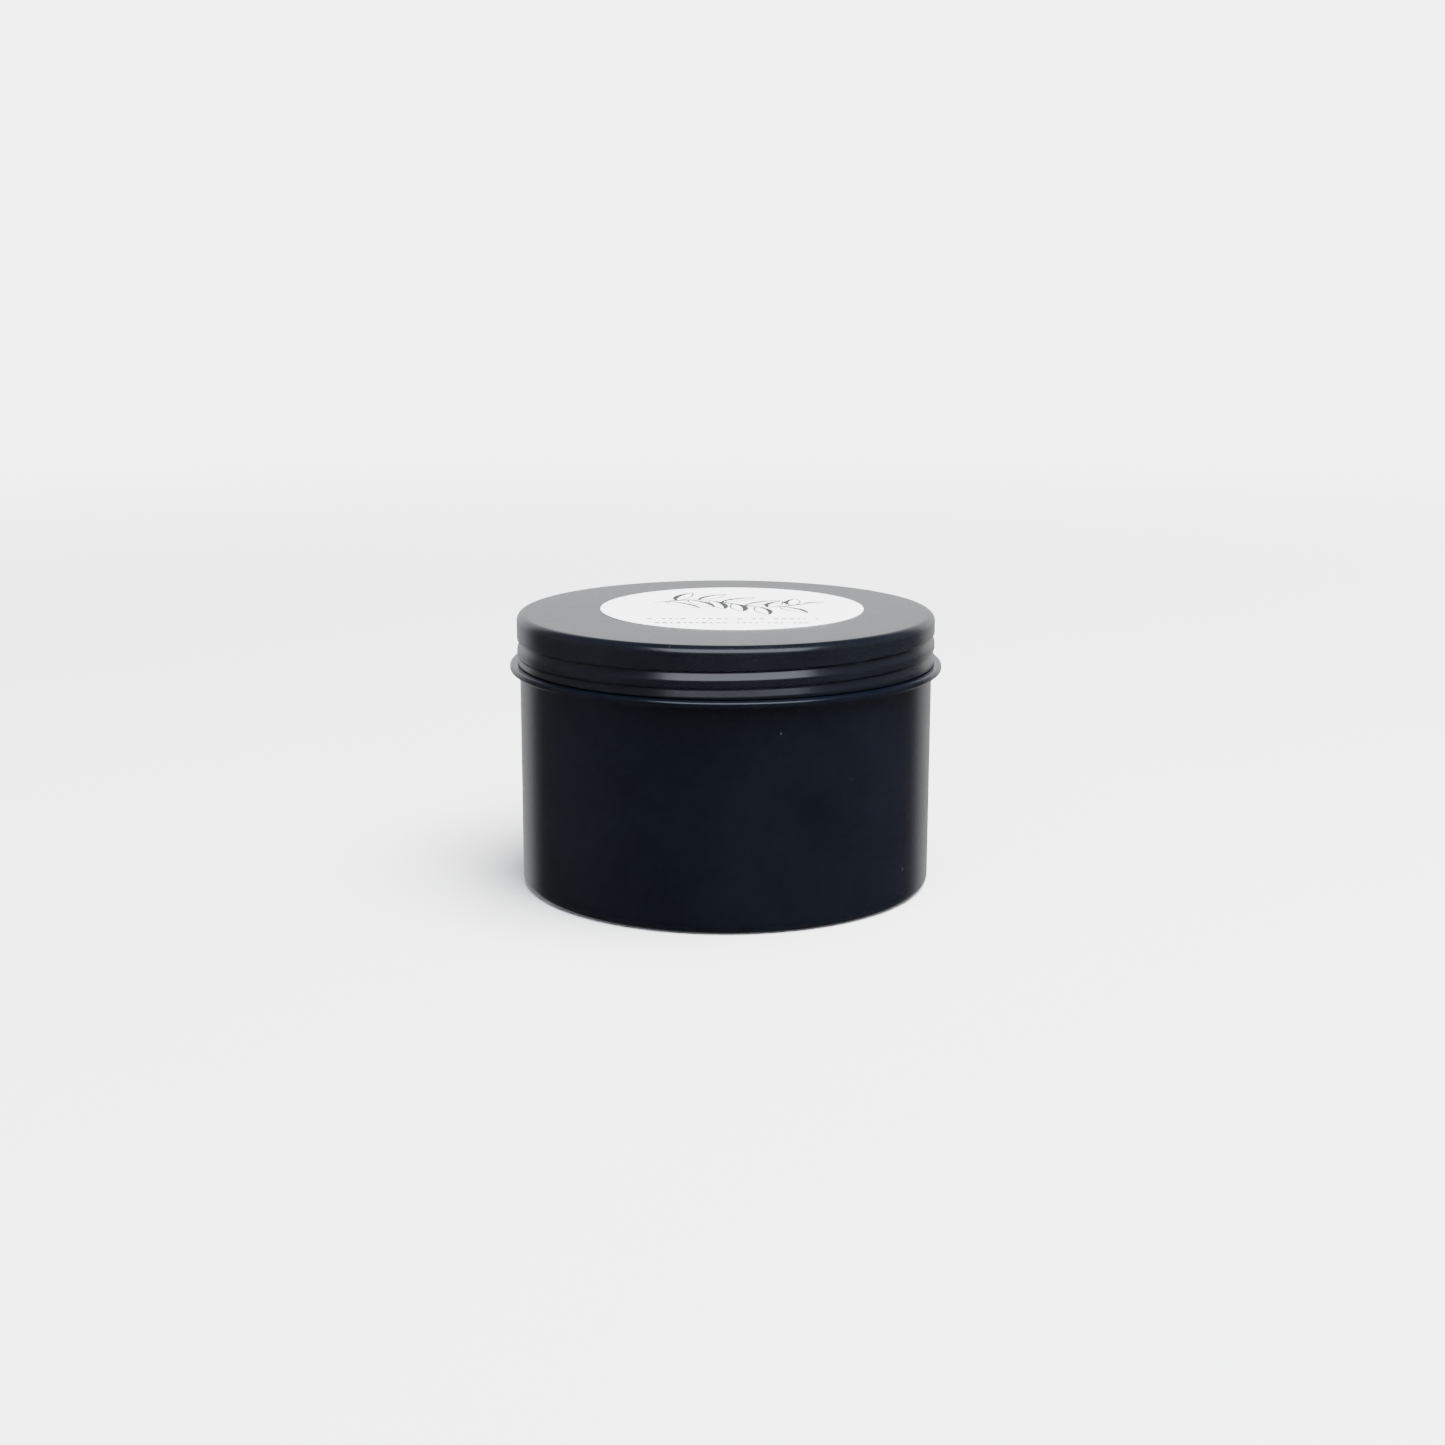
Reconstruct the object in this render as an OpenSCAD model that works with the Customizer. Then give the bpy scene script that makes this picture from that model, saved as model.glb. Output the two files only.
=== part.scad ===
// Screw-top candle tin: a drawn, black-coated aluminium can with a rolled bead and a
// threaded neck, a matching screw lid with a foam liner and a round label, and the
// poured wax with its wick inside. Millimetres, +Z up, origin at the centre of the
// standing ring, the label side of the lid on top and -Y towards the front.

/* [Can] */
// Outside diameter of the straight can wall
body_d = 79.6; // [79.2:0.1:80]
// Thickness of the drawn aluminium sheet
sheet = 0.4; // [0.34:0.02:0.42]
// Radius of the rounded edge between the wall and the standing ring
foot_fillet = 1.5; // [1.2:0.1:2]
// How far the middle of the base is pushed up from the standing ring
base_recess = 0.8; // [0.7:0.05:1]
// Radius where the pushed-up middle of the base begins
recess_r = 35; // [33:0.5:36]

/* [Bead] */
// Outside diameter of the rolled bead under the lid
bead_d = 83.4; // [82.8:0.1:84]
// Height of the upper face of the bead
bead_top = 43.4; // [43.3:0.02:43.44]
// Thickness of the bead from its lower to its upper face
bead_h = 1.3; // [1.2:0.05:1.4]

/* [Neck] */
// Outside diameter of the neck above the bead
neck_d = 78; // [77.9:0.05:78.1]
// Radius of the inward curl along the mouth of the can
rim_r = 0.6; // [0.5:0.02:0.62]
// Height of the top of the curled mouth
rim_top = 51.55; // [51.4:0.05:51.55]
// How far the thread of the neck stands out
neck_thread_h = 0.5; // [0.42:0.02:0.5]

/* [Lid] */
// Height of the flat top of the lid when it is screwed down
lid_top = 53; // [53:0.05:53.3]
// Outside diameter of the lid skirt
lid_d = 80.6; // [80.5:0.05:80.8]
// Radius of the rounded edge between the lid's top and its skirt
lid_fillet = 1.5; // [1.2:0.1:1.8]
// Height of the lower edge of the skirt when the lid is screwed down
skirt_z = 43.65; // [43.6:0.05:43.75]
// Depth of the thread pressed into the skirt
lid_thread_h = 0.55; // [0.48:0.01:0.55]
// Rise of the thread in one turn
pitch = 3; // [2.95:0.05:3.1]
// Height of the lower turn of the pressed thread at the front of the lid
lid_thread_z = 45.25; // [45.2:0.05:45.3]
// Height of the neck's thread above the lid's thread
thread_lift = 1.1; // [1.05:0.05:1.3]

/* [Liner] */
// Diameter of the foam disc inside the lid
liner_d = 77.2; // [74:0.2:77.4]
// Thickness of the foam disc
liner_t = 0.85; // [0.7:0.05:0.88]

/* [Labels] */
// Diameter of the round paper label on the lid
label_d = 51; // [40:0.5:60]
// Thickness of the paper labels
label_t = 0.12; // [0.1:0.01:0.14]
// How far the lid's label sits to the right of the middle
label_x = 1.2; // [-3:0.1:3]
// How far the lid's label sits behind the middle
label_y = 2.2; // [-3:0.1:3]
// Diameter of the label in the recess of the base
base_label_d = 40; // [30:1:60]

/* [Candle] */
// Height of the wax at the middle of the tin
wax_top = 41; // [30:0.5:41]
// How far the wax climbs at the wall
wax_rim = 0.6; // [0.3:0.1:0.6]
// Diameter of the braided wick
wick_d = 2.6; // [2:0.1:2.8]
// Height of the tip of the trimmed wick
wick_top = 48; // [45:0.5:50]
// Diameter of the steel disc that holds the wick
tab_d = 20; // [15:0.5:24]
// Thickness of the steel disc
tab_t = 0.3; // [0.25:0.05:0.4]
// Height of the crimped neck of the steel disc
tab_neck_h = 6; // [3:0.5:9]
// Diameter of the foam pad under the steel disc
pad_d = 19; // [14:0.5:20]
// Thickness of the foam pad
pad_t = 0.6; // [0.5:0.1:1]

/* [Hidden] */
$fn = 160;

black = [0.035, 0.04, 0.055];
paper = [0.93, 0.93, 0.92];
foam = [0.9, 0.91, 0.92];
wax = [0.93, 0.89, 0.78];
cotton = [0.9, 0.88, 0.82];
steel = [0.66, 0.67, 0.69];

body_r = body_d / 2;
bead_r = bead_d / 2;
neck_r = neck_d / 2;
lid_r = lid_d / 2;
lid_in = lid_r - sheet;
neck_in = neck_r - sheet;
floor_z = base_recess + sheet;
nose = 0.38;
hair = 0.03;
pad_z = floor_z + hair;
tab_z = pad_z + pad_t;
tube_r = wick_d / 2 + 0.05;
tube_out = tube_r + 0.4;
front = -90;

// Points of an arc from angle a0 to a1
function arc(c, r, a0, a1, n = 8) =
    [for (i = [0 : n]) let (a = a0 + (a1 - a0) * i / n) [c[0] + r * cos(a), c[1] + r * sin(a)]];

// How full the thread is: it runs out over `run` degrees at both of its ends
function swell(a, a0, a1, run) = sin(90 * min(1, (min(a - a0, a1 - a) + run * 0.2) / (run * 1.2)));

// An outline stepped up a helix in short arcs that run a little into each other. The points
// of `prof` are [radius, height] at full depth, and `skin` is the radius of the wall that
// the outline grows out of.
module helix(prof, skin, z0, a0, a1, run = 24, step = 12) {
    m = round((a1 - a0) / step);
    for (i = [0 : m - 1]) let (a = a0 + (i + 0.5) * step, s = swell(a, a0, a1, run), w = 0.5 + 0.5 * s, e = 0.01 * (i % 2))
        rotate([0, 0, front + a0 + i * step])
        translate([0, 0, z0 + pitch * a / 360])
        rotate_extrude(angle = step + 0.4 + (i % 2) * 0.2)
        polygon([for (p = prof) [e + skin + (p[0] - skin) * ((p[0] - skin) * (prof[3][0] - skin) > 0 ? s : 1), p[1] * w]]);
}

// Profile of the neck's thread, and of the groove behind it
neck_ridge = [[neck_r - 0.2, -0.72], [neck_r + 0.05, -0.62], [neck_r + 0.6 * neck_thread_h, -0.38],
              [neck_r + neck_thread_h, -0.14], [neck_r + neck_thread_h, 0.14],
              [neck_r + 0.6 * neck_thread_h, 0.38], [neck_r + 0.05, 0.62], [neck_r - 0.2, 0.72]];
neck_groove = [[neck_in - 0.2, -0.68], [neck_in + 0.02, -0.48], [neck_in + 0.5 * neck_thread_h, -0.28],
               [neck_in + 0.9 * neck_thread_h, -0.08], [neck_in + 0.9 * neck_thread_h, 0.08],
               [neck_in + 0.5 * neck_thread_h, 0.28], [neck_in + 0.02, 0.48], [neck_in - 0.2, 0.68]];
// Profile of the groove pressed into the skirt, and of the ridge it raises inside
lid_groove = [[lid_r + 0.12, -1.57], [lid_r - 0.9 * lid_thread_h, -0.15],
              [lid_r - 0.98 * lid_thread_h, -0.06], [lid_r - lid_thread_h, 0.02],
              [lid_r - 0.94 * lid_thread_h, 0.1], [lid_r - 0.55 * lid_thread_h, 0.24],
              [lid_r - 0.12 * lid_thread_h, 0.42], [lid_r + 0.12, 0.56]];
lid_ridge = [[lid_in + 0.12, -1.5], [lid_in - 0.9 * lid_thread_h, -0.17],
             [lid_in - 0.98 * lid_thread_h, -0.08], [lid_in - lid_thread_h, 0.02],
             [lid_in - 0.94 * lid_thread_h, 0.13], [lid_in - 0.55 * lid_thread_h, 0.3],
             [lid_in - 0.12 * lid_thread_h, 0.5], [lid_in + 0.12, 0.62]];

// The can: base panel, standing ring, wall, rolled bead, threaded neck and curled mouth
module tin_base() {
    zb = bead_top - bead_h;
    curl = [neck_r - rim_r, rim_top - rim_r];
    outer = concat(
        [[0, base_recess], [recess_r, base_recess]],
        arc([recess_r + 0.4, base_recess * 0.5], 0.4, 60, 20, 3),
        [[recess_r + 0.95, 0.12], [recess_r + 1.2, 0]],
        arc([body_r - foot_fillet, foot_fillet], foot_fillet, -90, 0, 8),
        arc([body_r + 0.3, zb - 0.3], 0.3, 180, 90, 4),
        arc([bead_r - nose, zb + nose], nose, -90, 0, 6),
        arc([bead_r - nose, bead_top - nose], nose, 0, 90, 6),
        arc([neck_r + 0.4, bead_top + 0.4], 0.4, 270, 180, 5),
        arc(curl, rim_r, 0, 235, 20));
    inner = concat(
        arc(curl, rim_r - sheet, 235, 0, 16),
        [[neck_in, bead_top - sheet]],
        arc([bead_r - sheet - 0.12, bead_top - sheet - 0.12], 0.12, 90, 0, 3),
        arc([bead_r - sheet - 0.12, zb + sheet + 0.12], 0.12, 0, -90, 3),
        arc([body_r - sheet + 0.2, zb + sheet - 0.2], 0.2, 90, 180, 3),
        arc([body_r - foot_fillet, foot_fillet], foot_fillet - sheet, 0, -90, 8),
        [[recess_r + 1.4, sheet], [recess_r + 1.1, sheet + 0.15],
         [recess_r + 0.55, floor_z - 0.15], [recess_r + 0.25, floor_z], [0, floor_z]]);
    color(black)
    difference() {
        union() {
            rotate_extrude() polygon(concat(outer, inner));
            helix(neck_ridge, neck_r, lid_thread_z + thread_lift, -168, 372);
        }
        helix(neck_groove, neck_in, lid_thread_z + thread_lift, -150, 354);
    }
}

// The lid: a drawn cap with its thread rolled into the skirt
module lid_shell() {
    c = [lid_r - lid_fillet, lid_top - lid_fillet];
    shell = concat(
        [[0, lid_top]],
        arc(c, lid_fillet, 90, 0, 10),
        [[lid_r, skirt_z + 0.1], [lid_r - 0.1, skirt_z], [lid_in + 0.1, skirt_z], [lid_in, skirt_z + 0.1]],
        arc(c, lid_fillet - sheet, 0, 90, 10),
        [[0, lid_top - sheet]]);
    color(black)
    difference() {
        union() {
            rotate_extrude() polygon(shell);
            difference() {
                helix(lid_ridge, lid_in, lid_thread_z, -120, 468);
                translate([0, 0, skirt_z - 4]) cylinder(r = lid_r + 3, h = 4);
            }
        }
        helix(lid_groove, lid_r, lid_thread_z, -114, 462);
    }
}

// The foam disc that seals the mouth of the can
module lid_liner() {
    color(foam)
    translate([0, 0, lid_top - sheet - 0.1 - liner_t]) cylinder(d = liner_d, h = liner_t);
}

// The round paper label on top of the lid
module lid_label() {
    color(paper)
    translate([label_x, label_y, lid_top]) cylinder(d = label_d, h = label_t);
}

// The blank round label in the recess under the can
module base_label() {
    color(paper)
    translate([0, 0, base_recess - label_t - 0.01]) cylinder(d = base_label_d, h = label_t);
}

// The poured wax, lower in the middle than at the wall
module wax_fill() {
    w = body_r - sheet - hair;
    color(wax)
    difference() {
        rotate_extrude() polygon(concat(
            [[0, floor_z + hair], [recess_r + 0.25, floor_z + hair], [recess_r + 0.6, floor_z - 0.12],
             [recess_r + 1.15, sheet + 0.2], [recess_r + 1.4, sheet + hair]],
            arc([body_r - foot_fillet, foot_fillet], foot_fillet - sheet - hair, -90, 0, 8),
            [[w, wax_top + wax_rim], [w - 0.5, wax_top + wax_rim * 0.42], [w - 1.2, wax_top + wax_rim * 0.15],
             [w - 2.2, wax_top], [0, wax_top]]));
        translate([0, 0, floor_z - 1]) cylinder(r = tab_d / 2 + hair, h = 1 + hair + pad_t + tab_t + hair);
        cylinder(r = tube_out + hair, h = tab_z + tab_neck_h + hair);
        cylinder(r = wick_d / 2 + hair, h = wax_top + 2);
    }
}

// The braided wick, primed with wax and trimmed above the surface
module wick() {
    color(cotton)
    rotate_extrude() polygon([[0, tab_z + hair], [wick_d / 2, tab_z + hair], [wick_d / 2, wick_top - 0.5],
                              [wick_d / 2 - 0.35, wick_top], [0, wick_top]]);
}

// The steel disc with the crimped neck that grips the wick
module wick_tab() {
    color(steel)
    difference() {
        union() {
            translate([0, 0, tab_z]) cylinder(d = tab_d, h = tab_t);
            translate([0, 0, tab_z]) cylinder(r = tube_out, h = tab_neck_h);
        }
        translate([0, 0, tab_z - 1]) cylinder(r = tube_r, h = tab_neck_h + 2);
    }
}

// The foam pad that holds the steel disc to the floor of the can
module wick_pad() {
    color(foam)
    translate([0, 0, pad_z]) cylinder(d = pad_d, h = pad_t - hair);
}

tin_base();
lid_shell();
lid_liner();
lid_label();
base_label();
wax_fill();
wick();
wick_tab();
wick_pad();
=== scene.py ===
import bpy, bmesh, math, random
from mathutils import Vector, Matrix


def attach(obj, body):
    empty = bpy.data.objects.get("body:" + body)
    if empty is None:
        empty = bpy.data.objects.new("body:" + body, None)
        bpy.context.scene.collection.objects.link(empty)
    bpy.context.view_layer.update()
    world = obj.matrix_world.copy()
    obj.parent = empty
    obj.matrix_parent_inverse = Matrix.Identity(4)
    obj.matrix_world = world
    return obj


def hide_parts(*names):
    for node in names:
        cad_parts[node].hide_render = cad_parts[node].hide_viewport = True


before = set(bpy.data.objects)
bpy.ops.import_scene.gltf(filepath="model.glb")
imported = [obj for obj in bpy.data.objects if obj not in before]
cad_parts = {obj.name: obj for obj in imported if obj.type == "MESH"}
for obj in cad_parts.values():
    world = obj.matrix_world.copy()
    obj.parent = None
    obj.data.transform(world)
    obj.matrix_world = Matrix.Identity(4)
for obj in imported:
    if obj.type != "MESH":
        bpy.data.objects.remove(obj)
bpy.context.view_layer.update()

MM = 0.001
SC = bpy.context.scene
random.seed(7)

# ------------------------------------------------------------------ camera
FR = 1445.0
FOC = 2129.0
cam_data = bpy.data.cameras.new("camera")
cam_data.sensor_fit = "HORIZONTAL"
cam_data.sensor_width = 36.0
cam_data.lens = 36.0 * FOC / FR
cam_data.clip_start = 0.01
cam_data.clip_end = 30.0
cam = bpy.data.objects.new("camera", cam_data)
SC.collection.objects.link(cam)
SC.camera = cam


def rot(axis, deg):
    return Matrix.Rotation(math.radians(deg), 3, axis)


# camera frame: x right, y down, z forward
B = Matrix(((1, 0, 0), (0, 0, -1), (0, 1, 0)))
RM = rot("Z", 0.1) @ rot("X", 12.2643) @ B
C = Vector((-0.0006, -0.4066, 0.1191))
right, down, fwd = RM[0].copy(), RM[1].copy(), RM[2].copy()
M = Matrix.Identity(4)
for i in range(3):
    M[i][0], M[i][1], M[i][2], M[i][3] = right[i], -down[i], -fwd[i], C[i]
cam.matrix_world = M

# ------------------------------------------------------------------ helpers
def new_obj(name, verts, faces, smooth=True):
    me = bpy.data.meshes.new(name)
    me.from_pydata([tuple(v) for v in verts], [], faces)
    me.validate()
    if smooth:
        me.polygons.foreach_set("use_smooth", [True] * len(me.polygons))
    me.update()
    ob = bpy.data.objects.new(name, me)
    SC.collection.objects.link(ob)
    return ob


def arc(c, r, a0, a1, n):
    return [(c[0] + r * math.cos(math.radians(a0 + (a1 - a0) * i / n)),
             c[1] + r * math.sin(math.radians(a0 + (a1 - a0) * i / n))) for i in range(n + 1)]


def line(p, q, n):
    """Points from p towards q, without p and with q."""
    return [(p[0] + (q[0] - p[0]) * i / n, p[1] + (q[1] - p[1]) * i / n) for i in range(1, n + 1)]


def lathe(name, prof, n=360, move=None, centre=(0.0, 0.0)):
    """A closed solid turned about Z. prof is in millimetres; a point with r = 0 is one vertex."""
    prof = [p for i, p in enumerate(prof) if i == 0 or abs(p[0] - prof[i - 1][0]) + abs(p[1] - prof[i - 1][1]) > 1e-6]
    closed = prof[0][0] > 1e-9
    verts, rings = [], []
    for k, (r, z) in enumerate(prof):
        if r <= 1e-9:
            p = move(0.0, 0.0, z, k) if move else (0.0, z)
            rings.append([len(verts)])
            verts.append((centre[0] * MM, centre[1] * MM, p[1] * MM))
            continue
        ring = []
        for i in range(n):
            t = 2 * math.pi * i / n
            rr, zz = move(t, r, z, k) if move else (r, z)
            ring.append(len(verts))
            verts.append(((centre[0] + rr * math.cos(t)) * MM, (centre[1] + rr * math.sin(t)) * MM, zz * MM))
        rings.append(ring)
    faces = []
    pairs = list(zip(rings, rings[1:]))
    if closed:
        pairs.append((rings[-1], rings[0]))
    for a, b in pairs:
        if len(a) == 1 and len(b) == 1:
            continue
        for i in range(n):
            j = (i + 1) % n
            if len(a) == 1:
                faces.append((a[0], b[j], b[i]))
            elif len(b) == 1:
                faces.append((a[i], a[j], b[0]))
            else:
                faces.append((a[i], a[j], b[j], b[i]))
    ob = new_obj(name, verts, faces)
    fix_normals(ob)
    return ob


def fix_normals(ob):
    bm = bmesh.new()
    bm.from_mesh(ob.data)
    bmesh.ops.recalc_face_normals(bm, faces=bm.faces[:])
    vol = bm.calc_volume(signed=True)
    if vol < 0:
        bmesh.ops.reverse_faces(bm, faces=bm.faces[:])
    bm.to_mesh(ob.data)
    bm.free()


def smoothstep(x):
    x = min(1.0, max(0.0, x))
    return x * x * (3 - 2 * x)


def hash1(i):
    x = math.sin(i * 127.1 + 11.7) * 43758.5453
    return x - math.floor(x)


# ------------------------------------------------------------------ numbers (mm), as in the CAD
BODY_R, SHEET, NECK_R, LID_R = 39.8, 0.4, 39.0, 40.3
BEAD_R, BEAD_TOP, BEAD_Z, NOSE = 41.7, 43.4, 42.1, 0.38
RIM_TOP, RIM_R, LID_TOP, SKIRT = 51.55, 0.6, 53.0, 43.53    # the skirt's edge 0.12 nearer the bead than in the CAD
PITCH, THREAD_Z, LIFT = 3.0, 45.25, 1.1
LID_H, NECK_H = 0.55, 0.5


def swell(a, a0, a1, run):
    d = min(a - a0, a1 - a)
    return 0.0 if d <= 0 else math.sin(math.pi / 2 * min(1.0, d / run))


def pressed(u):
    """Depth, 0 to 1, of the thread pressed into the skirt, u mm above its deepest line."""
    def f(x):
        if x >= 0:
            return max(0.0, 1 - x / 0.44)
        return max(0.0, 1 + x / 1.36)
    return sum(w * f(u + d) for d, w in ((-0.12, 0.12), (-0.06, 0.22), (0, 0.32), (0.06, 0.22), (0.12, 0.12)))


def raised(u):
    """Height, 0 to 1, of the neck's thread, u mm from its crest."""
    x = abs(u) / 0.72
    return 0.0 if x >= 1 else (0.5 + 0.5 * math.cos(math.pi * x)) ** 0.8


def helix(t, z, z0, a0, a1, run, shape, depth=None):
    """How far the thread has moved the sheet at angle t and height z, from 0 to 1."""
    out = 0.0
    base = math.degrees(t) + 90.0
    for k in range(-2, 4):
        a = base + 360.0 * k
        if a0 < a < a1:
            s = swell(a, a0, a1, run)
            u = z - (z0 + PITCH * a / 360.0)
            if abs(u) < 1.8:
                out = max(out, s * shape(u / (0.55 + 0.45 * s)) * (depth(a) if depth else 1.0))
    return out


def lid_press(t, z):
    return LID_H * helix(t, z, THREAD_Z, -125, 473, 30, pressed, lambda a: 0.62 + 0.38 * smoothstep((a + 60) / 330.0)) * smoothstep((z - SKIRT + 0.25) / 0.4)


def neck_raise(t, z):
    return NECK_H * helix(t, z, THREAD_Z + LIFT, -170, 374, 30, raised)


# ------------------------------------------------------------------ the can
def build_base():
    zb = BEAD_Z
    curl = (NECK_R - RIM_R, RIM_TOP - RIM_R)
    F = 1.5
    out = [(0.0, 0.8)]
    out += line((0.0, 0.8), (34.9, 0.8), 10)
    out += arc((34.9, 0.4), 0.4, 85, 25, 5)
    out += line(out[-1], (35.75, 0.22), 2)
    out += arc((36.2, 0.4), 0.4, 205, 270, 5)
    out += line((36.2, 0.0), (BODY_R - F, 0.0), 3)
    out += arc((BODY_R - F, F), F, -90, 0, 14)[1:]
    out += line((BODY_R, F), (BODY_R, zb - 0.3), 60)
    out += arc((BODY_R + 0.3, zb - 0.3), 0.3, 180, 90, 7)[1:]
    out += arc((BEAD_R - NOSE, zb + NOSE), NOSE, -90, 0, 9)
    out += arc((BEAD_R - 0.55, BEAD_TOP - 0.55), 0.55, 0, 90, 12)
    out += line(out[-1], (NECK_R + 0.4, BEAD_TOP), 3)
    out += arc((NECK_R + 0.4, BEAD_TOP + 0.4), 0.4, 270, 180, 7)[1:]
    k0 = len(out) - 1
    out += line(out[-1], (NECK_R, curl[1]), 84)
    k1 = len(out)
    out += arc(curl, RIM_R, 0, 235, 26)[1:]
    inn = arc(curl, RIM_R - SHEET, 235, 0, 14)
    m0 = len(out) + len(inn) - 1
    inn += line(inn[-1], (NECK_R - SHEET, BEAD_TOP - SHEET), 84)
    m1 = len(out) + len(inn)
    inn += arc((BEAD_R - SHEET - 0.12, BEAD_TOP - SHEET - 0.12), 0.12, 90, 0, 3)
    inn += arc((BEAD_R - SHEET - 0.12, zb + SHEET + 0.12), 0.12, 0, -90, 3)
    inn += arc((BODY_R - SHEET + 0.2, zb + SHEET - 0.2), 0.2, 90, 180, 4)
    inn += line(inn[-1], (BODY_R - SHEET, F), 40)
    inn += arc((BODY_R - F, F), F - SHEET, 0, -90, 10)[1:]
    inn += [(36.4, 0.4), (36.1, 0.55), (35.8, 0.82), (35.55, 1.05), (35.25, 1.2)]
    inn += line((35.25, 1.2), (0.0, 1.2), 8)
    inn[-1] = (0.0, 1.2)

    def move(t, r, z, k):
        if (k0 < k < k1 or m0 < k < m1) and r > 10:
            return r + neck_raise(t, z), z
        return r, z

    ob = lathe("tin_can_drawn", out + inn, 360, move)
    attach(ob, "base")
    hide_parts("tin_base")
    return ob


def build_lid():
    F = 1.5
    c = (LID_R - F, LID_TOP - F)
    out = [(0.0, LID_TOP)]
    out += line((0.0, LID_TOP), (c[0], LID_TOP), 16)
    out += arc(c, F, 90, 0, 22)[1:]
    ko = len(out) - 1
    out += line(out[-1], (LID_R, SKIRT + 0.12), 112)
    out += arc((LID_R - 0.12, SKIRT + 0.12), 0.12, 0, -90, 4)[1:]
    out += arc((LID_R - SHEET + 0.12, SKIRT + 0.12), 0.12, -90, -180, 4)
    out += line(out[-1], (LID_R - SHEET, c[1]), 112)
    ki = len(out)
    out += arc(c, F - SHEET, 0, 90, 14)[1:]
    out += line(out[-1], (0.0, LID_TOP - SHEET), 8)
    out[-1] = (0.0, LID_TOP - SHEET)

    def move(t, r, z, k):
        if ko < k < ki and r > 30:
            return r - lid_press(t, z), z
        return r, z

    ob = lathe("lid_cap_drawn", out, 360, move)
    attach(ob, "lid")
    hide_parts("lid_shell")
    return ob


# ------------------------------------------------------------------ small pieces
def build_paper(name, r, z0, z1, centre, body, node, n=220):
    e = 0.03
    prof = [(0.0, z1)] + line((0.0, z1), (r - e, z1), 12)
    prof += [(r - e * 0.35, z1 - e * 0.3), (r, z1 - e), (r, z0 + e), (r - e * 0.35, z0 + e * 0.3)]
    prof += line((r - e, z0), (0.0, z0), 4)
    prof[-1] = (0.0, z0)
    ob = lathe(name, prof, n, None, centre)
    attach(ob, body)
    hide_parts(node)
    return ob


def strokes(name, items, z0, z1, centre, layered=False):
    """Thin printed strokes. items are lists of (x, y, width) in millimetres about the label's centre."""
    verts, faces = [], []
    for k_, pts in enumerate(items):
        n = len(pts)
        base = len(verts)
        # each stroke lies a hair above the one before, so that crossings don't share a surface
        z2 = z1 + 0.0006 * k_ if layered else z1
        for i, (x, y, w) in enumerate(pts):
            a, b = pts[max(i - 1, 0)], pts[min(i + 1, n - 1)]
            dx, dy = b[0] - a[0], b[1] - a[1]
            d = math.hypot(dx, dy) or 1.0
            nx, ny = -dy / d * w / 2, dx / d * w / 2
            for z, k in ((z0, 1), (z0, -1), (z2, -1), (z2, 1)):
                verts.append(((centre[0] + x + nx * k) * MM, (centre[1] + y + ny * k) * MM, z * MM))
        for i in range(n - 1):
            p, q = base + 4 * i, base + 4 * (i + 1)
            for j in range(4):
                k = (j + 1) % 4
                faces.append((p + j, p + k, q + k, q + j))
        faces.append((base + 3, base + 2, base + 1, base))
        e = base + 4 * (n - 1)
        faces.append((e, e + 1, e + 2, e + 3))
    ob = new_obj(name, verts, faces, smooth=False)
    fix_normals(ob)
    return ob


def leaf(x, y, ang, length, width, bold):
    """The outline of a leaf drawn with one pen stroke, thick on one side and thin on the other."""
    ca, sa = math.cos(ang), math.sin(ang)
    out = []
    n = 26
    for i in range(n + 1):
        t = i / n
        s = t * 2 if t < 0.5 else 2 - t * 2
        side = 1 if t < 0.5 else -1
        u = length * s
        v = side * width / 2 * math.sin(math.pi * s) ** 0.8 * (1 - 0.25 * s)
        pen = (0.34 + 0.82 * math.sin(math.pi * s)) if side > 0 else 0.32
        out.append((x + u * ca - v * sa, y + u * sa + v * ca, pen * bold))
    return [out]


def build_print(centre, z):
    """A plain leaf sprig and two rows of short rules, in place of the printed words."""
    items = []
    stem = []
    for i in range(80):
        t = i / 79
        x = -15.4 + 29.6 * t
        y = 7.4 + 4.0 * math.sin(2.3 * t * math.pi - 0.5) * (0.7 + 0.3 * t) - 4.6 * t
        stem.append((x, y, 0.42 + 0.6 * abs(math.sin(math.pi * (t * 2.5 + 0.1))) ** 2))
    items.append(stem)
    for k, i in enumerate(range(6, 76, 6)):
        a, b = stem[i - 1], stem[i + 1]
        d = math.atan2(b[1] - a[1], b[0] - a[0])
        size = 9.6 - 0.2 * k + 1.8 * hash1(k)
        side = 1 if k % 2 else -1
        items += leaf(stem[i][0], stem[i][1], d * 0.4 + side * (1.02 + 0.2 * hash1(k + 40)), size, 3.1, 0.85 + 0.3 * hash1(k + 9))
    items += leaf(stem[-1][0], stem[-1][1], 0.5, 4.6, 1.9, 0.9)
    ob = strokes("label_print_sprig", items, z - 0.004, z + 0.006, centre, True)
    rows = []
    for row, (y, x0, x1) in enumerate(((-13.4, -16.0, 16.2), (-17.9, -14.4, 14.6))):
        x, k = x0, 0
        while x < x1:
            w = 0.4 + 0.6 * hash1(row * 50 + k)
            w = min(w, x1 - x)
            if w > 0.3:
                tall = 0.9 + 0.3 * hash1(k + 7 * row)
                rows.append([(x, y, tall), (x + w * 0.5, y, tall), (x + w, y, tall)])
            x += w + 0.55 + (1.3 if hash1(row * 50 + k + 300) > 0.8 else 0)
            k += 1
    ob2 = strokes("label_print_rules", rows, z - 0.004, z + 0.006, centre)
    return ob, ob2


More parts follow.
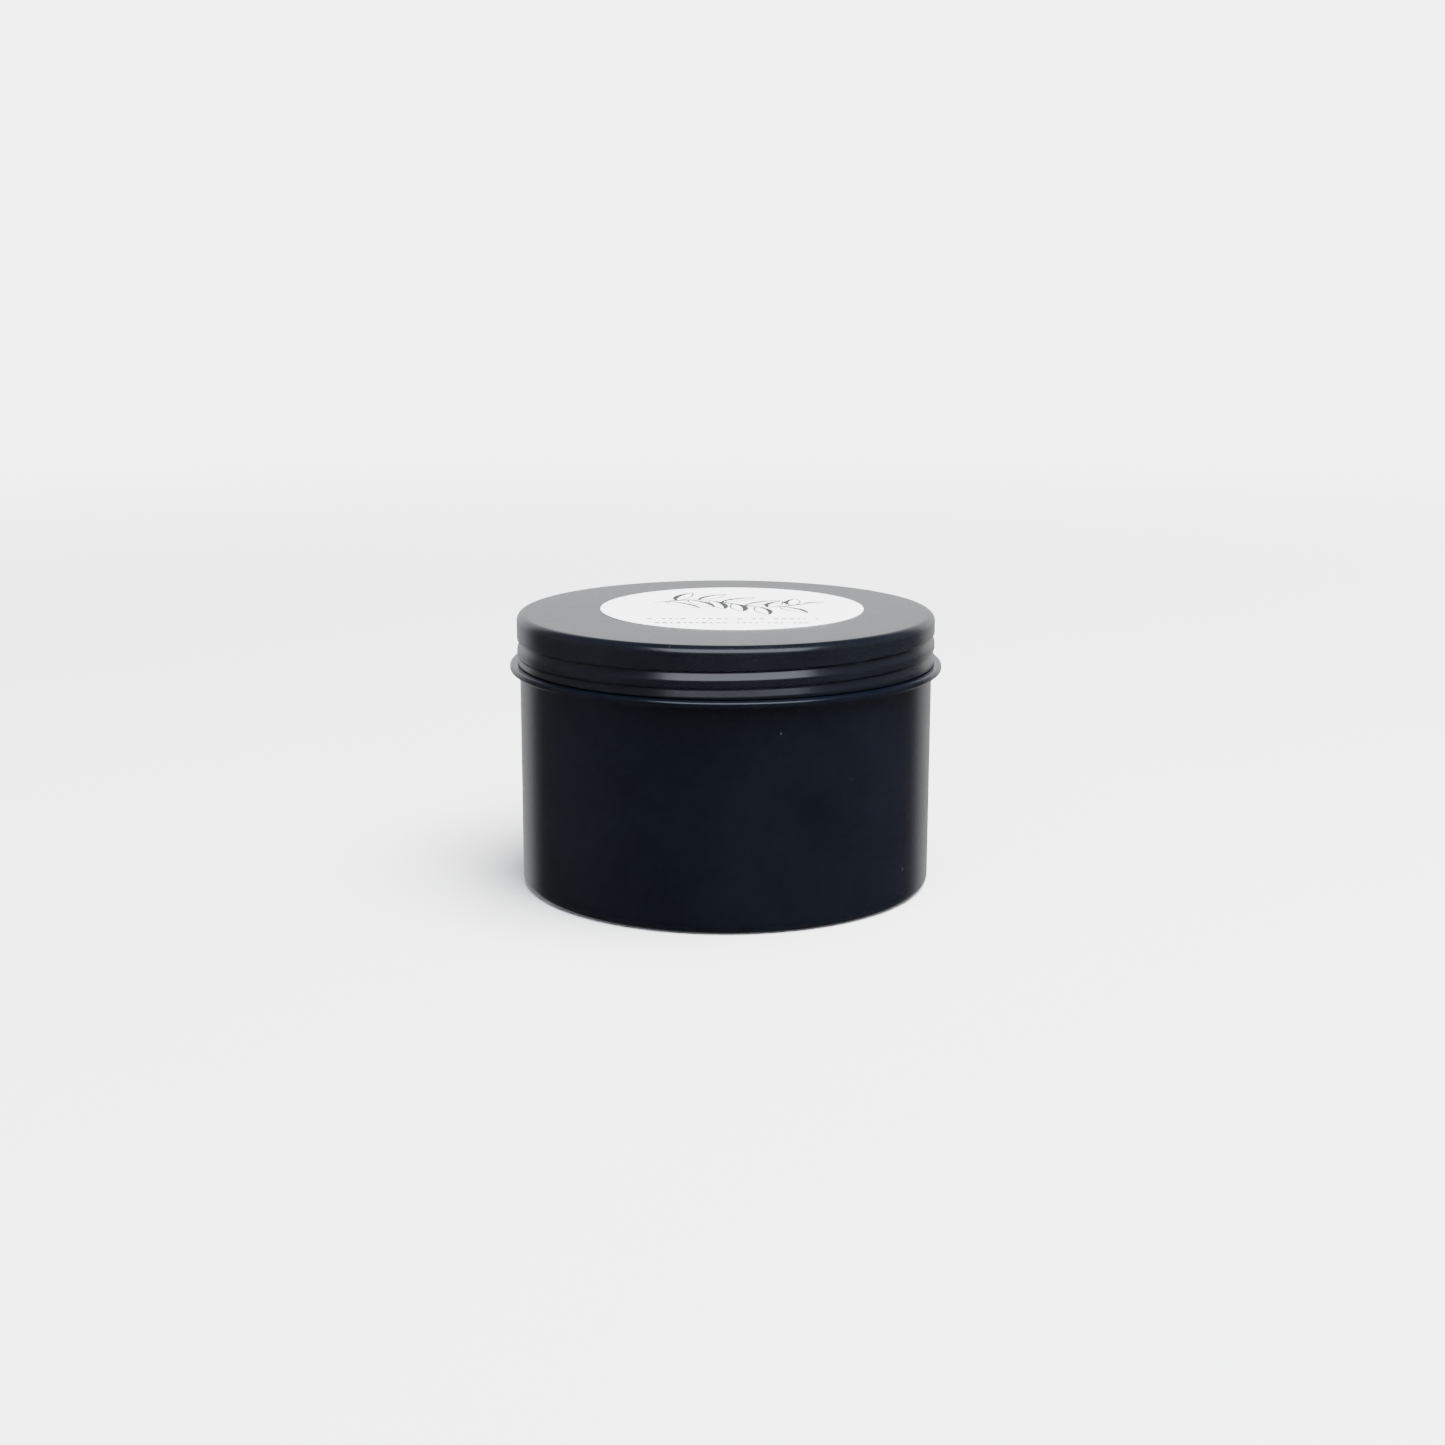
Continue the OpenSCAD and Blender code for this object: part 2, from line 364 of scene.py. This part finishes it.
def build_liner():
    z0, z1, r = 51.65, 52.5, 38.6
    out = [(0.0, z1)] + line((0.0, z1), (r - 0.1, z1), 16) + [(r - 0.03, z1 - 0.03), (r, z1 - 0.1)]
    out += line((r, z1 - 0.1), (r, z0 + 0.2), 4) + [(r - 0.03, z0 + 0.17)]
    out += line((r - 0.03, z0 + 0.17), (37.7, z0 + 0.15), 5)
    out += [(37.5, z0 + 0.12), (37.3, z0 + 0.06), (37.05, z0 + 0.015), (36.8, z0)]
    out += line((36.8, z0), (0.0, z0), 24)
    out[-1] = (0.0, z0)

    def move(t, r_, z, k):
        dz = 0.0
        if z < z0 + 0.1 and r_ < 36.9:
            dz = 0.03 * (1 + math.sin(r_ * 0.31 + 1.3 * math.sin(2 * t))) * smoothstep((36.9 - r_) / 3)
        return r_, z + dz

    ob = lathe("lid_liner_foam", out, 240, move)
    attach(ob, "liner")
    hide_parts("lid_liner")
    return ob


def build_wax():
    w = BODY_R - SHEET - 0.03
    hole = 1.36
    top = [(hole, 41.35), (1.55, 41.1), (1.9, 40.9), (2.5, 40.72), (3.4, 40.62), (5.0, 40.6)]
    top += line((5.0, 40.6), (14.0, 40.86), 10)
    top += line((14.0, 40.86), (36.6, 41.0), 34)
    top += [(37.4, 41.03), (38.1, 41.1), (38.6, 41.2), (38.95, 41.33), (39.2, 41.48), (w - 0.04, 41.58), (w, 41.6)]
    nt = len(top)
    low = line((w, 41.6), (w, 1.5), 12)
    low += arc((BODY_R - 1.5, 1.5), 1.5 - SHEET - 0.03, 0, -90, 8)[1:]
    low += [(36.4, 0.43), (36.15, 0.58), (35.8, 0.86), (35.6, 1.08), (35.25, 1.23)]
    low += line((35.25, 1.23), (10.04, 1.23), 8)
    low += [(10.04, 2.2), (1.85, 2.2), (1.85, 7.9), (hole, 7.9)]
    low += line((hole, 7.9), (hole, 41.35), 8)[:-1]

    def move(t, r, z, k):
        if 1 <= k < nt - 2:
            x, y = r * math.cos(t), r * math.sin(t)
            f = smoothstep((r - 1.4) / 4) * smoothstep((39.2 - r) / 2.5)
            dz = 0.055 * math.sin(x * 0.23 + 0.9) * math.sin(y * 0.19 - 0.4) + 0.03 * math.sin(x * 0.61 + y * 0.47)
            dz += 0.012 * math.sin(x * 1.9 - y * 1.3 + 2.0 * math.sin(y * 0.7))
            edge = smoothstep((r - 37.0) / 2.0) * 0.07 * math.sin(9 * t + 1.7 * math.sin(4 * t))
            return r, z + dz * f - abs(edge)
        return r, z

    ob = lathe("wax_poured", top + low, 240, move)
    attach(ob, "base")
    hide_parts("wax_fill")
    return ob


def tube(verts, faces, path, radii, sides=8):
    base = len(verts)
    n = len(path)
    up = Vector((0.3, 0.2, 1)).normalized()
    ref = Vector((1, 0, 0))
    for i, p in enumerate(path):
        d = (path[min(i + 1, n - 1)] - path[max(i - 1, 0)]).normalized()
        a = d.cross(ref)
        if a.length < 1e-6:
            a = d.cross(up)
        a.normalize()
        b = d.cross(a).normalized()
        for j in range(sides):
            t = 2 * math.pi * j / sides
            verts.append((p + (a * math.cos(t) + b * math.sin(t)) * radii[i]) * MM)
    for i in range(n - 1):
        for j in range(sides):
            k = (j + 1) % sides
            faces.append((base + i * sides + j, base + i * sides + k, base + (i + 1) * sides + k, base + (i + 1) * sides + j))
    faces.append(tuple(base + j for j in range(sides))[::-1])
    faces.append(tuple(base + (n - 1) * sides + j for j in range(sides)))


def build_wick():
    """A round braid: half of the strands wind one way, half the other, over and under each other."""
    verts, faces = [], []
    z0, z1, lay, count = 2.25, 47.95, 7.5, 6
    for way in (1, -1):
        for s in range(count):
            ph = 2 * math.pi * s / count
            tip = z1 - 0.12 - 0.5 * hash1(s + 20 * way + 60)
            n = 150
            path, rad = [], []
            for i in range(n + 1):
                z = z0 + (tip - z0) * i / n
                t = ph + way * 2 * math.pi * z / lay
                over = math.cos(count * 2 * math.pi * z / lay + (0 if way > 0 else math.pi))
                open_ = smoothstep((z - (z1 - 1.1)) / 1.1)
                r = 0.86 + 0.1 * over + 0.03 * open_
                path.append(Vector((r * math.cos(t), r * math.sin(t), z)))
                rad.append(0.29 + 0.03 * open_ if i not in (0, n) else 0.2)
            tube(verts, faces, path, rad, 8)
    path = [Vector((0.02 * math.sin(z), 0.02 * math.cos(z), z)) for z in [z0 + (z1 - 0.3 - z0) * i / 40 for i in range(41)]]
    tube(verts, faces, path, [0.62] * 41, 12)
    ob = new_obj("wick_braid", verts, faces)
    fix_normals(ob)
    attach(ob, "base")
    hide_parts("wick")
    return ob


def build_tab():
    z0 = 1.83
    b = 1.36
    prof = [(b, z0), (9.75, z0), (9.92, z0 + 0.05), (10.0, z0 + 0.15), (9.92, z0 + 0.25), (9.75, z0 + 0.3)]
    prof += line((9.75, z0 + 0.3), (7.4, z0 + 0.3), 3)
    prof += [(7.2, z0 + 0.26), (7.0, z0 + 0.2), (6.8, z0 + 0.26), (6.6, z0 + 0.3)]
    prof += line((6.6, z0 + 0.3), (2.2, z0 + 0.3), 4)
    prof += [(1.95, z0 + 0.36), (1.8, z0 + 0.5), (1.74, z0 + 0.8)]
    prof += line((1.74, z0 + 0.8), (1.74, z0 + 5.8), 24)
    prof += [(1.7, z0 + 5.93), (1.6, z0 + 5.99), (1.45, z0 + 5.97), (b, z0 + 5.88)]
    prof += line((b, z0 + 5.88), (b, z0), 24)[:-1]

    def move(t, r, z, k):
        if r < 1.9 and z > z0 + 1.0:
            f = smoothstep((z - z0 - 1.4) / 1.0) * smoothstep((z0 + 5.4 - z) / 0.8)
            return r - 0.13 * f * max(0.0, math.cos(2 * t)) ** 2 + 0.05 * f * max(0.0, -math.cos(2 * t)), z
        return r, z

    ob = lathe("wick_tab_crimped", prof, 96, move)
    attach(ob, "base")
    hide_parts("wick_tab")
    return ob


def build_pad():
    z0, z1, r = 1.24, 1.8, 9.5
    prof = [(0.0, z1)] + line((0.0, z1), (r - 0.12, z1), 8)
    prof += [(r - 0.03, z1 - 0.05), (r - 0.02, z1 - 0.15), (r - 0.07, (z0 + z1) / 2), (r - 0.02, z0 + 0.15), (r - 0.03, z0 + 0.05)]
    prof += line((r - 0.12, z0), (0.0, z0), 8)
    prof[-1] = (0.0, z0)

    def move(t, r_, z, k):
        return (r_ + (0.04 * math.sin(7 * t + z * 3) if r_ > 9.3 else 0)), z

    ob = lathe("wick_pad_foam", prof, 120, move)
    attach(ob, "base")
    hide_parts("wick_pad")
    return ob


# ------------------------------------------------------------------ materials
def mat(name):
    m = bpy.data.materials.new(name)
    m.use_nodes = True
    nt = m.node_tree
    nt.nodes.clear()
    out = nt.nodes.new("ShaderNodeOutputMaterial")
    bsdf = nt.nodes.new("ShaderNodeBsdfPrincipled")
    nt.links.new(bsdf.outputs[0], out.inputs[0])
    tc = nt.nodes.new("ShaderNodeTexCoord")
    return m, nt, bsdf, tc


def noise(nt, tc, scale, detail=4.0, rough=0.55, dist=0.0, stretch=None):
    n = nt.nodes.new("ShaderNodeTexNoise")
    n.inputs["Scale"].default_value = scale
    n.inputs["Detail"].default_value = detail
    n.inputs["Roughness"].default_value = rough
    n.inputs["Distortion"].default_value = dist
    src = tc.outputs["Object"]
    if stretch:
        mp = nt.nodes.new("ShaderNodeMapping")
        mp.inputs["Scale"].default_value = stretch
        nt.links.new(src, mp.inputs["Vector"])
        src = mp.outputs[0]
    nt.links.new(src, n.inputs["Vector"])
    return n


def voronoi(nt, tc, scale, feature="F1", rnd=1.0):
    v = nt.nodes.new("ShaderNodeTexVoronoi")
    v.feature = feature
    v.inputs["Scale"].default_value = scale
    v.inputs["Randomness"].default_value = rnd
    nt.links.new(tc.outputs["Object"], v.inputs["Vector"])
    return v


def ramp(nt, src, stops):
    r = nt.nodes.new("ShaderNodeValToRGB")
    el = r.color_ramp.elements
    while len(el) > 1:
        el.remove(el[-1])
    el[0].position, el[0].color = stops[0][0], (*stops[0][1], 1) if len(stops[0][1]) == 3 else stops[0][1]
    for p, c in stops[1:]:
        e = el.new(p)
        e.color = (*c, 1)
    nt.links.new(src, r.inputs["Fac"])
    return r


def math_node(nt, op, a, b=None, clamp=False):
    m = nt.nodes.new("ShaderNodeMath")
    m.operation = op
    m.use_clamp = clamp
    for i, v in enumerate((a, b)):
        if v is None:
            continue
        if isinstance(v, (int, float)):
            m.inputs[i].default_value = v
        else:
            nt.links.new(v, m.inputs[i])
    return m.outputs[0]


def mix_col(nt, fac, a, b, mode="MIX"):
    m = nt.nodes.new("ShaderNodeMix")
    m.data_type = "RGBA"
    m.blend_type = mode
    if isinstance(fac, (int, float)):
        m.inputs["Factor"].default_value = fac
    else:
        nt.links.new(fac, m.inputs["Factor"])
    for sock, v in ((m.inputs[6], a), (m.inputs[7], b)):
        if isinstance(v, tuple):
            sock.default_value = (*v, 1)
        else:
            nt.links.new(v, sock)
    return m.outputs[2]


def bump(nt, bsdf, height, strength, distance, below=None):
    b = nt.nodes.new("ShaderNodeBump")
    b.inputs["Strength"].default_value = strength
    b.inputs["Distance"].default_value = distance
    nt.links.new(height, b.inputs["Height"])
    if below is not None:
        nt.links.new(below, b.inputs["Normal"])
    nt.links.new(b.outputs[0], bsdf.inputs["Normal"])
    return b.outputs[0]


def grey(v):
    return (v, v, v)


def coat_material(name, seed, deep, pale):
    m, nt, b, tc = mat(name)
    # the coating: near black with a slight blue cast, finely uneven
    n1 = noise(nt, tc, 60.0 + seed, 5.0)
    col = ramp(nt, n1.outputs["Fac"], [(0.35, deep), (0.65, pale)]).outputs[0]
    # specks of dust
    v = voronoi(nt, tc, 150.0 + 7 * seed)
    dot = ramp(nt, v.outputs["Distance"], [(0.0, grey(1.0)), (0.010, grey(0.9)), (0.018, grey(0.0))]).outputs[0]
    pick = nt.nodes.new("ShaderNodeSeparateColor")
    nt.links.new(v.outputs["Color"], pick.inputs[0])
    some = math_node(nt, "GREATER_THAN", pick.outputs[0], 0.62)
    dust = math_node(nt, "MULTIPLY", dot, some)
    v2 = voronoi(nt, tc, 520.0 + 9 * seed)
    dot2 = ramp(nt, v2.outputs["Distance"], [(0.0, grey(0.6)), (0.03, grey(0.4)), (0.05, grey(0.0))]).outputs[0]
    pick2 = nt.nodes.new("ShaderNodeSeparateColor")
    nt.links.new(v2.outputs["Color"], pick2.inputs[0])
    dust2 = math_node(nt, "MULTIPLY", dot2, math_node(nt, "GREATER_THAN", pick2.outputs[1], 0.93))
    dust = math_node(nt, "MAXIMUM", dust, dust2)
    col = mix_col(nt, dust, col, (0.30, 0.30, 0.29))
    nt.links.new(col, b.inputs["Base Color"])
    # satin that varies with handling
    n2 = noise(nt, tc, 26.0 + seed, 3.0, 0.5, 0.3)
    n3 = noise(nt, tc, 900.0, 2.0)
    r = math_node(nt, "ADD", math_node(nt, "MULTIPLY", n2.outputs["Fac"], 0.07),
                  math_node(nt, "MULTIPLY", n3.outputs["Fac"], 0.06))
    r = math_node(nt, "ADD", r, 0.165)
    nt.links.new(r, b.inputs["Roughness"])
    b.inputs["IOR"].default_value = 1.5
    b.inputs["Specular IOR Level"].default_value = 0.5
    # orange peel, fine grain and the raised dust
    peel = noise(nt, tc, 650.0, 3.0, 0.5)
    grain = noise(nt, tc, 5200.0, 2.0, 0.6)
    one = bump(nt, b, peel.outputs["Fac"], 0.22, 0.00004)
    two = bump(nt, b, grain.outputs["Fac"], 0.12, 0.00002, one)
    bump(nt, b, dust, 0.5, 0.00005, two)
    return m


def bare_material():
    m, nt, b, tc = mat("lacquered_aluminium")
    n1 = noise(nt, tc, 14.0, 4.0)
    col = ramp(nt, n1.outputs["Fac"], [(0.3, (0.60, 0.605, 0.615)), (0.7, (0.71, 0.71, 0.715))]).outputs[0]
    nt.links.new(col, b.inputs["Base Color"])
    b.inputs["Metallic"].default_value = 1.0
    draw = noise(nt, tc, 1.0, 3.0, 0.6, 0.0, (90.0, 90.0, 5200.0))
    r = math_node(nt, "ADD", math_node(nt, "MULTIPLY", draw.outputs["Fac"], 0.16), 0.22)
    nt.links.new(r, b.inputs["Roughness"])
    bump(nt, b, draw.outputs["Fac"], 0.12, 0.00002)
    return m


def paper_material(name, tint):
    m, nt, b, tc = mat(name)
    n1 = noise(nt, tc, 240.0, 6.0, 0.65, 0.6)
    fib = noise(nt, tc, 1.0, 5.0, 0.6, 1.2, (900.0, 2600.0, 900.0))
    c1 = ramp(nt, n1.outputs["Fac"], [(0.3, tuple(t * 0.975 for t in tint)), (0.7, tint)]).outputs[0]
    c2 = ramp(nt, fib.outputs["Fac"], [(0.3, grey(0.955)), (0.62, grey(1.0))]).outputs[0]
    nt.links.new(mix_col(nt, 1.0, c1, c2, "MULTIPLY"), b.inputs["Base Color"])
    r = math_node(nt, "ADD", math_node(nt, "MULTIPLY", fib.outputs["Fac"], 0.14), 0.58)
    nt.links.new(r, b.inputs["Roughness"])
    b.inputs["Specular IOR Level"].default_value = 0.3
    one = bump(nt, b, fib.outputs["Fac"], 0.18, 0.00002)
    bump(nt, b, n1.outputs["Fac"], 0.08, 0.00003, one)
    return m


def ink_material(name, dark, pale):
    m, nt, b, tc = mat(name)
    n1 = noise(nt, tc, 2600.0, 4.0, 0.6)
    col = ramp(nt, n1.outputs["Fac"], [(0.3, dark), (0.75, pale)]).outputs[0]
    nt.links.new(col, b.inputs["Base Color"])
    r = math_node(nt, "ADD", math_node(nt, "MULTIPLY", n1.outputs["Fac"], 0.2), 0.4)
    nt.links.new(r, b.inputs["Roughness"])
    bump(nt, b, n1.outputs["Fac"], 0.1, 0.00001)
    return m


def foam_material(name, tint, cell):
    m, nt, b, tc = mat(name)
    v = voronoi(nt, tc, cell, "F1")
    n1 = noise(nt, tc, 60.0, 4.0)
    wall = ramp(nt, v.outputs["Distance"], [(0.0, tuple(t * 0.86 for t in tint)), (0.5, tint)]).outputs[0]
    tone = ramp(nt, n1.outputs["Fac"], [(0.3, grey(0.95)), (0.7, grey(1.0))]).outputs[0]
    nt.links.new(mix_col(nt, 1.0, wall, tone, "MULTIPLY"), b.inputs["Base Color"])
    r = math_node(nt, "ADD", math_node(nt, "MULTIPLY", v.outputs["Distance"], 0.25), 0.5)
    nt.links.new(r, b.inputs["Roughness"])
    b.inputs["Sheen Weight"].default_value = 0.15
    b.inputs["Sheen Roughness"].default_value = 0.5
    one = bump(nt, b, v.outputs["Distance"], 0.5, 0.00012)
    bump(nt, b, n1.outputs["Fac"], 0.15, 0.0002, one)
    return m


def wax_material():
    m, nt, b, tc = mat("soy_wax")
    cloud = noise(nt, tc, 75.0, 5.0, 0.6, 0.8)
    fine = noise(nt, tc, 1500.0, 4.0, 0.6)
    frost = noise(nt, tc, 210.0, 6.0, 0.7, 1.6)
    c1 = ramp(nt, cloud.outputs["Fac"], [(0.3, (0.80, 0.70, 0.475)), (0.7, (0.87, 0.79, 0.59))]).outputs[0]
    f = ramp(nt, frost.outputs["Fac"], [(0.52, grey(0.0)), (0.72, grey(0.55))]).outputs[0]
    nt.links.new(mix_col(nt, f, c1, (0.90, 0.86, 0.74)), b.inputs["Base Color"])
    r = math_node(nt, "ADD", math_node(nt, "MULTIPLY", frost.outputs["Fac"], 0.3), 0.24)
    nt.links.new(r, b.inputs["Roughness"])
    b.inputs["IOR"].default_value = 1.44
    b.inputs["Subsurface Weight"].default_value = 0.35
    b.inputs["Subsurface Radius"].default_value = (1.0, 0.7, 0.4)
    b.inputs["Subsurface Scale"].default_value = 0.003
    one = bump(nt, b, cloud.outputs["Fac"], 0.25, 0.0004)
    two = bump(nt, b, frost.outputs["Fac"], 0.15, 0.0001, one)
    bump(nt, b, fine.outputs["Fac"], 0.08, 0.00004, two)
    return m


def cotton_material():
    m, nt, b, tc = mat("waxed_cotton")
    yarn = noise(nt, tc, 1.0, 4.0, 0.6, 0.4, (9000.0, 9000.0, 2400.0))
    n1 = noise(nt, tc, 420.0, 3.0)
    c1 = ramp(nt, yarn.outputs["Fac"], [(0.3, (0.66, 0.59, 0.44)), (0.7, (0.86, 0.81, 0.68))]).outputs[0]
    c2 = ramp(nt, n1.outputs["Fac"], [(0.3, grey(0.9)), (0.7, grey(1.0))]).outputs[0]
    nt.links.new(mix_col(nt, 1.0, c1, c2, "MULTIPLY"), b.inputs["Base Color"])
    r = math_node(nt, "ADD", math_node(nt, "MULTIPLY", yarn.outputs["Fac"], 0.3), 0.4)
    nt.links.new(r, b.inputs["Roughness"])
    b.inputs["Sheen Weight"].default_value = 0.25
    b.inputs["Sheen Roughness"].default_value = 0.4
    bump(nt, b, yarn.outputs["Fac"], 0.5, 0.00006)
    return m


def steel_material():
    m, nt, b, tc = mat("zinc_plated_steel")
    n1 = noise(nt, tc, 260.0, 5.0, 0.6, 0.5)
    v = voronoi(nt, tc, 420.0)
    c1 = ramp(nt, n1.outputs["Fac"], [(0.3, (0.50, 0.51, 0.53)), (0.7, (0.66, 0.67, 0.69))]).outputs[0]
    spangle = ramp(nt, v.outputs["Distance"], [(0.0, grey(0.9)), (0.6, grey(1.0))]).outputs[0]
    nt.links.new(mix_col(nt, 1.0, c1, spangle, "MULTIPLY"), b.inputs["Base Color"])
    b.inputs["Metallic"].default_value = 1.0
    r = math_node(nt, "ADD", math_node(nt, "MULTIPLY", n1.outputs["Fac"], 0.22), 0.2)
    nt.links.new(r, b.inputs["Roughness"])
    bump(nt, b, n1.outputs["Fac"], 0.12, 0.00003)
    return m


def dress(ob, *mats):
    ob.data.materials.clear()
    for m in mats:
        ob.data.materials.append(m)


def split_inside(ob, skip=0.0):
    """Gives the inner faces of a sheet shell the second material."""
    me = ob.data
    for p in me.polygons:
        c, n = p.center, p.normal
        rad = Vector((c.x, c.y, 0.0))
        inward = n.dot(rad.normalized()) < -0.35 if rad.length > 1e-5 else False
        p.material_index = 1 if inside_face(ob.name, c, n, inward) else 0


def inside_face(name, c, n, inward):
    r, z = math.hypot(c.x, c.y) / MM, c.z / MM
    if name.startswith("lid"):
        turned = math.hypot(r - (LID_R - 1.5), z - (LID_TOP - 1.5)) < 1.3 and r > LID_R - 1.5 and z > LID_TOP - 1.5
        return (z < 52.62 and n.z < -0.5 and r < 39.6) or (inward and z > SKIRT + 0.2) or turned
    if z < 0.9:
        return z > 0.38 and n.z > 0.2 and r > 35
    return (n.z > 0.5 and z < 1.3 and r < 36) or (inward and z < 50.6) or (r < BEAD_R - SHEET + 0.02 and 42.4 < z < 43.06 and r > NECK_R - SHEET - 0.3) or (z > 0.38 and z < 1.6 and r < 39.45 and n.z > 0.1)


# ------------------------------------------------------------------ make the pieces
black_can = coat_material("black_coat_can", 0, (0.0013, 0.0020, 0.0040), (0.0019, 0.0027, 0.0053))
# the lid wears the same black paint as the can; its lighter, bluer base colour is painted light, standing in for the
# brighter light that falls on its skirt
black_lid_painted_light = coat_material("black_coat_lid", 3, (0.0026, 0.0033, 0.0049), (0.0034, 0.0042, 0.0062))
bare = bare_material()
paper = paper_material("label_paper_white", (0.93, 0.93, 0.925))
paper2 = paper_material("base_paper_white", (0.86, 0.86, 0.85))
ink = ink_material("label_ink", (0.009, 0.0095, 0.011), (0.020, 0.0205, 0.022))
ink2 = ink_material("label_ink_small", (0.05, 0.051, 0.055), (0.11, 0.11, 0.115))
foam = foam_material("liner_foam_white", (0.84, 0.86, 0.875), 1500.0)
foam2 = foam_material("pad_foam_white", (0.80, 0.80, 0.77), 1900.0)
wax = wax_material()
cotton = cotton_material()
steel = steel_material()

can = build_base()
dress(can, black_can, bare)
split_inside(can)
lid = build_lid()
dress(lid, black_lid_painted_light, bare)
split_inside(lid)
LAB = (1.2, 2.2)
label = build_paper("label_paper_disc", 25.5, 53.0, 53.12, LAB, "lid", "lid_label")
dress(label, paper)
sprig, rules = build_print(LAB, 53.12)
for o in (sprig, rules):
    dress(o, ink if o is sprig else ink2)
    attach(o, "lid")
under = build_paper("base_paper_disc", 20.0, 0.67, 0.79, (0.0, 0.0), "base", "base_label")
dress(under, paper2)
liner = build_liner()
dress(liner, foam)
wx = build_wax()
dress(wx, wax)
wk = build_wick()
dress(wk, cotton)
tab = build_tab()
dress(tab, steel)
pad = build_pad()
dress(pad, foam2)

# ------------------------------------------------------------------ stage
def build_floor():
    n, rings = 96, [0.0, 0.03, 0.06, 0.1, 0.16, 0.25, 0.4, 0.6, 0.9, 1.3, 1.8]
    verts, faces = [(0, 0, 0)], []
    for r in rings[1:]:
        for i in range(n):
            t = 2 * math.pi * i / n
            verts.append((r * math.cos(t), r * math.sin(t), 0.0))
    for i in range(n):
        faces.append((0, 1 + i, 1 + (i + 1) % n))
    for k in range(len(rings) - 2):
        a, b = 1 + k * n, 1 + (k + 1) * n
        for i in range(n):
            j = (i + 1) % n
            faces.append((a + i, b + i, b + j, a + j))
    ob = new_obj("floor", verts, faces)
    ob.location.z = -0.00002
    m, nt, b, tc = mat("floor_pale")
    n1 = noise(nt, tc, 6.0, 4.0)
    col = ramp(nt, n1.outputs["Fac"], [(0.3, grey(FLOOR * 0.985)), (0.7, grey(FLOOR))]).outputs[0]
    nt.links.new(col, b.inputs["Base Color"])
    b.inputs["Roughness"].default_value = 0.9
    b.inputs["Specular IOR Level"].default_value = 0.1
    # the floor melts into the backdrop with distance from the middle
    ln = nt.nodes.new("ShaderNodeVectorMath")
    ln.operation = "LENGTH"
    nt.links.new(tc.outputs["Object"], ln.inputs[0])
    mr = nt.nodes.new("ShaderNodeMapRange")
    mr.interpolation_type = "SMOOTHSTEP"
    mr.inputs["From Min"].default_value = 0.2
    mr.inputs["From Max"].default_value = 0.95
    mr.inputs["To Min"].default_value = 1.0
    mr.inputs["To Max"].default_value = 0.0
    nt.links.new(ln.outputs["Value"], mr.inputs["Value"])
    nt.links.new(mr.outputs[0], b.inputs["Alpha"])
    dress(ob, m)
    return ob


FLOOR = 0.79
KEY, OVER = 5.3, 36.0
BACK, SIDES, FRONT, LOW, HIGH, DROP = 1.38, 0.2, 0.06, 0.55, 0.04, 5.9
floor = build_floor()
# the tin stands on it and shades it, but a dark wall shows no mirror image of it
floor.visible_glossy = False


def area(name, loc, aim, sx, sy, radiance, color=(1, 1, 1)):
    d = bpy.data.lights.new(name, "AREA")
    d.shape = "RECTANGLE"
    d.size, d.size_y = sx, sy
    d.energy = radiance * math.pi * sx * sy
    d.color = color
    o = bpy.data.objects.new(name, d)
    SC.collection.objects.link(o)
    o.location = loc
    o.rotation_euler = (Vector(aim) - Vector(loc)).to_track_quat("-Z", "Y").to_euler()
    return o


MID = (0.0, 0.0, 0.04)


def towards(az, el, dist):
    """A place dist metres from the tin, az degrees round from the back towards +X and el degrees up."""
    a, e = math.radians(az), math.radians(el)
    return (MID[0] + dist * math.sin(a) * math.cos(e), MID[1] + dist * math.cos(a) * math.cos(e), MID[2] + dist * math.sin(e))


key = area("key_front", towards(174, 43, 1.2), MID, 1.75, 0.98, KEY, (0.85, 0.905, 1.0))
top = area("soft_overhead", (0.42, -0.22, 1.42), MID, 1.2, 1.2, OVER, (0.985, 0.99, 1.0))
top.visible_glossy = False
for o in (key, top):
    o.visible_camera = False


def build_world():
    """A pale backdrop for the camera; the surroundings that the tin reflects are a broad soft band, strongest at the back."""
    w = bpy.data.worlds.new("studio")
    SC.world = w
    w.use_nodes = True
    nt = w.node_tree
    nt.nodes.clear()
    out = nt.nodes.new("ShaderNodeOutputWorld")
    bg = nt.nodes.new("ShaderNodeBackground")
    nt.links.new(bg.outputs[0], out.inputs[0])
    tc = nt.nodes.new("ShaderNodeTexCoord")
    sep = nt.nodes.new("ShaderNodeSeparateXYZ")
    nt.links.new(tc.outputs["Generated"], sep.inputs[0])

    def smooth(src, a, b, lo, hi):
        mr = nt.nodes.new("ShaderNodeMapRange")
        mr.interpolation_type = "SMOOTHSTEP"
        mr.inputs["From Min"].default_value = a
        mr.inputs["From Max"].default_value = b
        mr.inputs["To Min"].default_value = lo
        mr.inputs["To Max"].default_value = hi
        nt.links.new(src, mr.inputs["Value"])
        return mr.outputs[0]

    back = math_node(nt, "ADD", smooth(sep.outputs["Y"], -0.9, 0.1, FRONT, SIDES),
                     smooth(sep.outputs["Y"], 0.56, 0.80, 0.0, BACK - SIDES))
    rise = smooth(sep.outputs["Z"], -0.22, 0.12, LOW, 1.0)
    fall = smooth(sep.outputs["Z"], 0.24, 0.80, 1.0, HIGH)
    seen = math_node(nt, "MULTIPLY", back, math_node(nt, "MULTIPLY", rise, fall))
    lp = nt.nodes.new("ShaderNodeLightPath")
    mx = nt.nodes.new("ShaderNodeMix")
    mx.data_type = "FLOAT"
    nt.links.new(lp.outputs["Is Camera Ray"], mx.inputs[0])
    nt.links.new(seen, mx.inputs[2])
    nt.links.new(smooth(sep.outputs["Z"], -0.3, 0.3, DROP * 0.93, DROP), mx.inputs[3])
    nt.links.new(mx.outputs[0], bg.inputs["Strength"])
    bg.inputs["Color"].default_value = (0.965, 0.975, 1.0, 1)


build_world()
